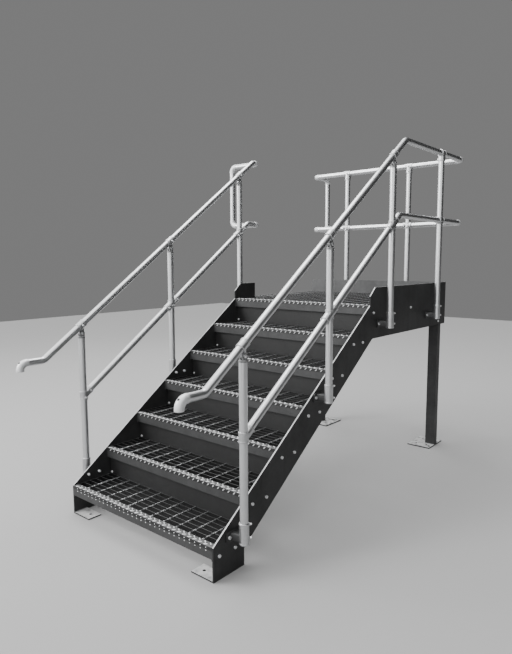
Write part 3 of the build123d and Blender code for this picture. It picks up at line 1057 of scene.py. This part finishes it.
left_end = Vector((rail_x["left"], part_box("handrail_left")[1].y + elbow_seat, 0))
back_end = Vector((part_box("handrail_back")[0].x - elbow_seat, back_y, 0))
returns = {
    "left": (left_end, Vector((-1, 0, 0)), left_return, Vector((0, -1, 0))),
    "back": (back_end, Vector((0, 1, 0)), back_return, Vector((1, 0, 0))),
}
for side, (end, outward, reach, inward) in returns.items():
    tubes = bmesh.new()
    for z in (guard_z, guard_mid_z):
        level = end + Vector((0, 0, z))
        tube(tubes, level + outward * elbow_seat, level + outward * (reach - elbow_seat))
    far = end + outward * reach
    tube(tubes, (far.x, far.y, guard_z - elbow_seat), (far.x, far.y, guard_mid_z + elbow_seat))
    finished(f"return_tubes_{side}", tubes, [tube_zinc], "tube", f"return_{side}")


# Elbows: castings with two sockets at a right angle, at the guard's corners and open ends.
# The lower end of each handrail is one, turned down, with nothing in its lower socket. One
# wide screw is sunk in each elbow's outer corner.
elbow_arm = 0.048
elbow_bend = 0.041
elbow_hollow = 0.0205
elbow_radius = 0.0229
elbow_lip = 0.0016
elbow_lap = 0.001
elbow_bore_lap = 0.004
corner_root = 0.0185
corner_radius = 0.0068
corner_recess = 0.0046
corner_proud = 0.0002
elbow_zinc = zinc(
    "elbow_zinc", light=0.66, dark=0.48, crystals=60.0, blotches=22.0, relief=0.0004,
    metallic=0.6,
)
X, Y, Z = Vector((1, 0, 0)), Vector((0, 1, 0)), Vector((0, 0, 1))


def axes(at, x_axis, y_axis):
    """Frame from its place and two of its axes, which are square to each other."""
    turn = Matrix((x_axis, y_axis, x_axis.cross(y_axis))).transposed().to_4x4()
    return Matrix.Translation(at) @ turn


def quarter_bend(bm, radius):
    """Solid of a quarter turn between a socket along X and one along Y."""
    faces = disc(bm, facing((elbow_bend, 0, 0), -X), radius, 32)
    centre = (elbow_bend, elbow_bend, 0)
    bmesh.ops.spin(bm, geom=faces, cent=centre, axis=-Z, angle=pi / 2, steps=12)


def elbow_casting():
    """Elbow with its sockets along X and Y."""
    solids, bores = bmesh.new(), bmesh.new()
    quarter_bend(solids, elbow_radius)
    quarter_bend(bores, elbow_hollow)
    start = elbow_bend - elbow_lap
    profile = [(0, start), (elbow_radius, start), (elbow_radius, elbow_arm - elbow_lip)]
    profile += [(elbow_radius - elbow_lip, elbow_arm), (0, elbow_arm)]
    for way in (X, Y):
        turned(solids, profile, facing((0, 0, 0), way), 32)
        hollow(bores, facing((0, 0, 0), way), elbow_bend - elbow_bore_lap, elbow_arm + 0.02)
    cylinder(bores, corner_screw, corner_radius, corner_root, 2 * elbow_radius, 16)
    return fused(solids, bores)


outer = elbow_bend * (1 - 0.5**0.5)
corner_screw = facing((outer, outer, 0), (-1, -1, 0))
corner_reach = elbow_radius + corner_proud
corner_screw_mesh = set_screw(corner_reach, corner_root, corner_radius, corner_recess)
elbow_mesh = elbow_casting()
elbow_places = []
for end, outward, reach, inward in returns.values():
    for z, upright in ((guard_z, -Z), (guard_mid_z, Z)):
        near = end + Vector((0, 0, z))
        far = near + outward * reach
        elbow_places.append((near, inward, outward))
        elbow_places.append((far, -outward, upright))
for z in (guard_z, guard_mid_z):
    elbow_places.append((Vector((rail_x["right"], back_y, z)), -Y, -X))
front_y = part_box("handrail_left")[0].y - elbow_seat
for x in rail_x.values():
    elbow_places.append((Vector((x, front_y, low_z)), Y, -Z))
elbows = bmesh.new()
corner_screws = bmesh.new()
for at, first, second in elbow_places:
    place = axes(at, first, second)
    placed(elbows, elbow_mesh, place)
    placed(corner_screws, corner_screw_mesh, place @ corner_screw)
finished("elbow_castings", elbows, [elbow_zinc], "casting", "elbows")
# The corner screws are dark: a painted shade down in their recesses.
finished("corner_screws", corner_screws, [shaded_flange_zinc], "casting")


# Tees: on the landing a sleeve round the level rail with a socket below for the post.
# On the flight the sleeve is pinned by a tongue and fork to a plug in the post's top end.
tee_half = 0.032
tee_socket = 0.058
tee_screw_drop = 0.043
roof = 0.0234
swivel_half = 0.026
swivel_drop = 0.052
swivel_eye = 0.017
fork_reach = 0.029
tongue_width = 0.012
tongue_top = 0.02
fork_gap = 0.0002
ear_width = 0.007
ear_taper = 0.9
collar_top = 0.068
collar_side = 0.0225
collar_neck = 0.017
collar_shoulder = 0.005
post_top_drop = 0.0818
pin_flat = 0.0085
pin_head = 0.0055
level_posts = [("post_right_4", -Y), ("post_back_1", X), ("post_back_2", X)]
inwards = {"left": Matrix.Identity(4), "right": Matrix.Diagonal((-1, 1, 1, 1))}


def level_tee_casting():
    """Tee with its sleeve along X and its socket down."""
    solids, bores = bmesh.new(), bmesh.new()
    barrel(solids, facing((0, 0, 0), X), -tee_half, tee_half)
    barrel(solids, facing((0, 0, 0), -Z), 0, tee_socket, bottom_rim=False)
    hollow(bores, facing((0, 0, 0), X), -2 * tee_half, 2 * tee_half)
    hollow(bores, facing((0, 0, 0), -Z), roof, 2 * tee_socket)
    for screw in level_tee_screws:
        screw_boss(solids, screw)
    return fused(solids, bores)


def swivel_casting():
    """Swivel tee with the rail's axis through the origin, in the YZ plane at the slope."""
    solids, bores = bmesh.new(), bmesh.new()
    along = facing((0, 0, 0), uphill)
    barrel(solids, along, -swivel_half, swivel_half)
    hollow(bores, along, -2 * swivel_half, 2 * swivel_half)
    half = tongue_width / 2
    block(solids, (-half, -swivel_eye, -swivel_drop), (half, swivel_eye, -tongue_top))
    pin = facing((0, 0, -swivel_drop), X)
    cylinder(solids, pin, swivel_eye, -half, half)
    for way in (-1, 1):
        inside, outside = sorted((way * (half + fork_gap), way * (half + ear_width)))
        cylinder(solids, pin, swivel_eye, inside, outside)
        side, foot = swivel_eye * ear_taper, -collar_top - 0.002
        block(solids, (inside, -side, foot), (outside, side, -swivel_drop))
    collar = [
        (0, -collar_top),
        (collar_neck, -collar_top),
        (collar_side, -collar_top - collar_shoulder),
        (collar_side, -post_top_drop),
        (0, -post_top_drop),
    ]
    turned(solids, collar, Matrix(), 32)
    screw_boss(solids, swivel_screw)
    mesh = fused(solids, bores)
    # The fork, its ears and the collar take the darker weld finish: a painted shade under the
    # sleeve.
    for face in mesh.polygons:
        below = face.center.z < -swivel_drop / 2
        face.material_index = int(below and face.center.cross(uphill).length > fork_reach)
    return mesh


level_tee_screws = [facing((0, 0, -tee_screw_drop), -Y), facing((0, 0, 0), -Y)]
swivel_screw = facing((0, 0, 0), X)
level_tee_mesh = level_tee_casting()
swivel_mesh = swivel_casting()
tees = bmesh.new()
pins = bmesh.new()
for name, along in level_posts:
    x, y = post_places[name][:2]
    place = axes((x, y, guard_z), along, Z.cross(along))
    placed(tees, level_tee_mesh, place)
    for screw in level_tee_screws:
        placed(set_screws, screw_mesh, place @ screw)
for side, x in rail_x.items():
    for y in flight_y:
        place = Matrix.Translation((x, y, pitch_z(y) + handrail_up)) @ inwards[side]
        placed(tees, swivel_mesh, place)
        placed(set_screws, screw_mesh, place @ swivel_screw)
        outside = tongue_width / 2 + ear_width
        for way in (X, -X):
            hexagon(pins, place @ facing(way * outside - Z * swivel_drop, way), pin_flat, pin_head)
finished("tee_castings", tees, [casting_zinc, weld_and_fork_shade_zinc], "casting", "rail_tees")
finished("swivel_pins", pins, [bolt_zinc], "casting")


# Crosses: a sleeve on the post with a socket each way for the mid rail.
# The first one of each flight has a single socket, because the mid rail starts there.
cross_half = 0.027
cross_screw_drop = 0.012
socket_grip = 0.016
socket_screw = 0.005


def cross_casting(ways):
    """Cross with its sleeve along Z and a socket along each way."""
    solids, bores = bmesh.new(), bmesh.new()
    upright = facing((0, 0, 0), Z)
    barrel(solids, upright, -cross_half, cross_half)
    hollow(bores, upright, -2 * cross_half, 2 * cross_half)
    for way in ways:
        reach = stub(atan2(abs(way.z), abs(way.y))) + socket_grip
        barrel(solids, facing((0, 0, 0), way), 0, reach, bottom_rim=False)
        hollow(bores, facing((0, 0, 0), way), tube_radius, 2 * reach)
    for screw in cross_screws(ways):
        screw_boss(solids, screw)
    return fused(solids, bores)


def cross_screws(ways):
    """One screw in the sleeve and one in each socket, on the side that faces +X."""
    screws = [facing((0, 0, -cross_screw_drop), X)]
    for way in ways:
        reach = stub(atan2(abs(way.z), abs(way.y))) + socket_screw
        screws.append(facing(way * reach, X))
    return screws


crosses = bmesh.new()
cross_ways = {"level": (Y, -Y), "first": (uphill,), "flight": (uphill, -uphill)}
cross_meshes = {kind: cross_casting(ways) for kind, ways in cross_ways.items()}
cross_places = []
for name, along in level_posts:
    x, y = post_places[name][:2]
    turn = Matrix.Rotation(pi if along.y else -pi / 2, 4, "Z")
    cross_places.append(("level", Matrix.Translation((x, y, guard_mid_z)) @ turn))
for side, x in rail_x.items():
    for n, y in enumerate(flight_y):
        place = Matrix.Translation((x, y, pitch_z(y) + mid_rail_up)) @ inwards[side]
        cross_places.append(("flight" if n else "first", place))
for kind, place in cross_places:
    placed(crosses, cross_meshes[kind], place)
    for screw in cross_screws(cross_ways[kind]):
        placed(set_screws, screw_mesh, place @ screw)
finished("cross_castings", crosses, [casting_zinc], "casting", "crosses")
finished("set_screws", set_screws, [bolt_zinc], "casting")


# Floor, light and camera: a plain pale floor before a grey backdrop, soft light that is stronger
# from behind the camera's left, and the photo's own viewing angle and lens.
floor_size = 12
floor_grey = 0.27
ground = bmesh.new()
bmesh.ops.create_grid(ground, x_segments=1, y_segments=1, size=floor_size)
floor = shown("floor", mesh_of("floor", ground))
floor_finish = bpy.data.materials.new("pale_floor")
floor_finish.use_nodes = True
floor_shader = floor_finish.node_tree.nodes["Principled BSDF"]
floor_shader.inputs["Base Color"].default_value = grey(floor_grey)
floor_shader.inputs["Roughness"].default_value = 0.9
floor.data.materials.append(floor_finish)

world = bpy.data.worlds.new("studio")
bpy.context.scene.world = world
world.use_nodes = True
sky = world.node_tree
ambient = sky.nodes["Background"]
soft_way = Vector((-0.40, -0.75, 0.53)).normalized()
soft_bright = 2.6
soft_dim = 0.02
backdrop_grey = 0.2
way = add(sky, "TexCoord", {}).outputs["Generated"]
towards = add(sky, "VectorMath", {0: way, 1: soft_way}, operation="DOT_PRODUCT").outputs["Value"]
spread = {"Value": towards, "From Min": -0.05, "From Max": 0.4}
spread.update({"To Min": soft_dim, "To Max": soft_bright})
glow = add(sky, "MapRange", spread, interpolation_type="SMOOTHSTEP").outputs[0]
ambient.inputs["Color"].default_value = grey(1.0)
sky.links.new(glow, ambient.inputs["Strength"])
backdrop = add(sky, "Background", {"Color": grey(backdrop_grey), "Strength": 1.0})
seen = add(sky, "LightPath", {}).outputs["Is Camera Ray"]
mixed = add(sky, "MixShader", {0: seen, 1: ambient.outputs[0], 2: backdrop.outputs[0]})
sky.links.new(mixed.outputs[0], sky.nodes["World Output"].inputs["Surface"])
for name, at, aim, size, power in (
    ("key_light", (-4.2, -5.0, 4.6), (0.1, 0.0, 1.0), 3.0, 500.0),
    ("top_light", (-1.6, 0.6, 7.5), (0.1, 0.1, 0.8), 4.0, 420.0),
    ("back_light", (-4.5, 4.0, 4.0), (0.1, 0.2, 1.2), 2.5, 60.0),
):
    lamp = bpy.data.lights.new(name, "AREA")
    lamp.size = size
    lamp.energy = power
    turn = (Vector(aim) - Vector(at)).to_track_quat("-Z", "Y").to_matrix().to_4x4()
    shown(name, lamp).matrix_world = Matrix.Translation(at) @ turn

eye = Vector((2.5725, -3.2301, 1.5564))
yaw, tilt, roll = radians(-40.18), radians(-6.68), radians(-0.23)
focal_pixels, image_height, sensor = 563.7, 654, 36.0
ahead = Vector((sin(yaw) * cos(tilt), cos(yaw) * cos(tilt), sin(tilt)))
level_right = Vector((cos(yaw), -sin(yaw), 0))
level_up = level_right.cross(ahead)
right = level_right * cos(roll) + level_up * sin(roll)
up = level_up * cos(roll) - level_right * sin(roll)
lens = bpy.data.cameras.new("camera")
lens.sensor_fit = "VERTICAL"
lens.sensor_height = sensor
lens.lens = focal_pixels / image_height * sensor
camera = shown("camera", lens)
camera.matrix_world = Matrix.Translation(eye) @ Matrix((right, up, -ahead)).transposed().to_4x4()
bpy.context.scene.camera = camera
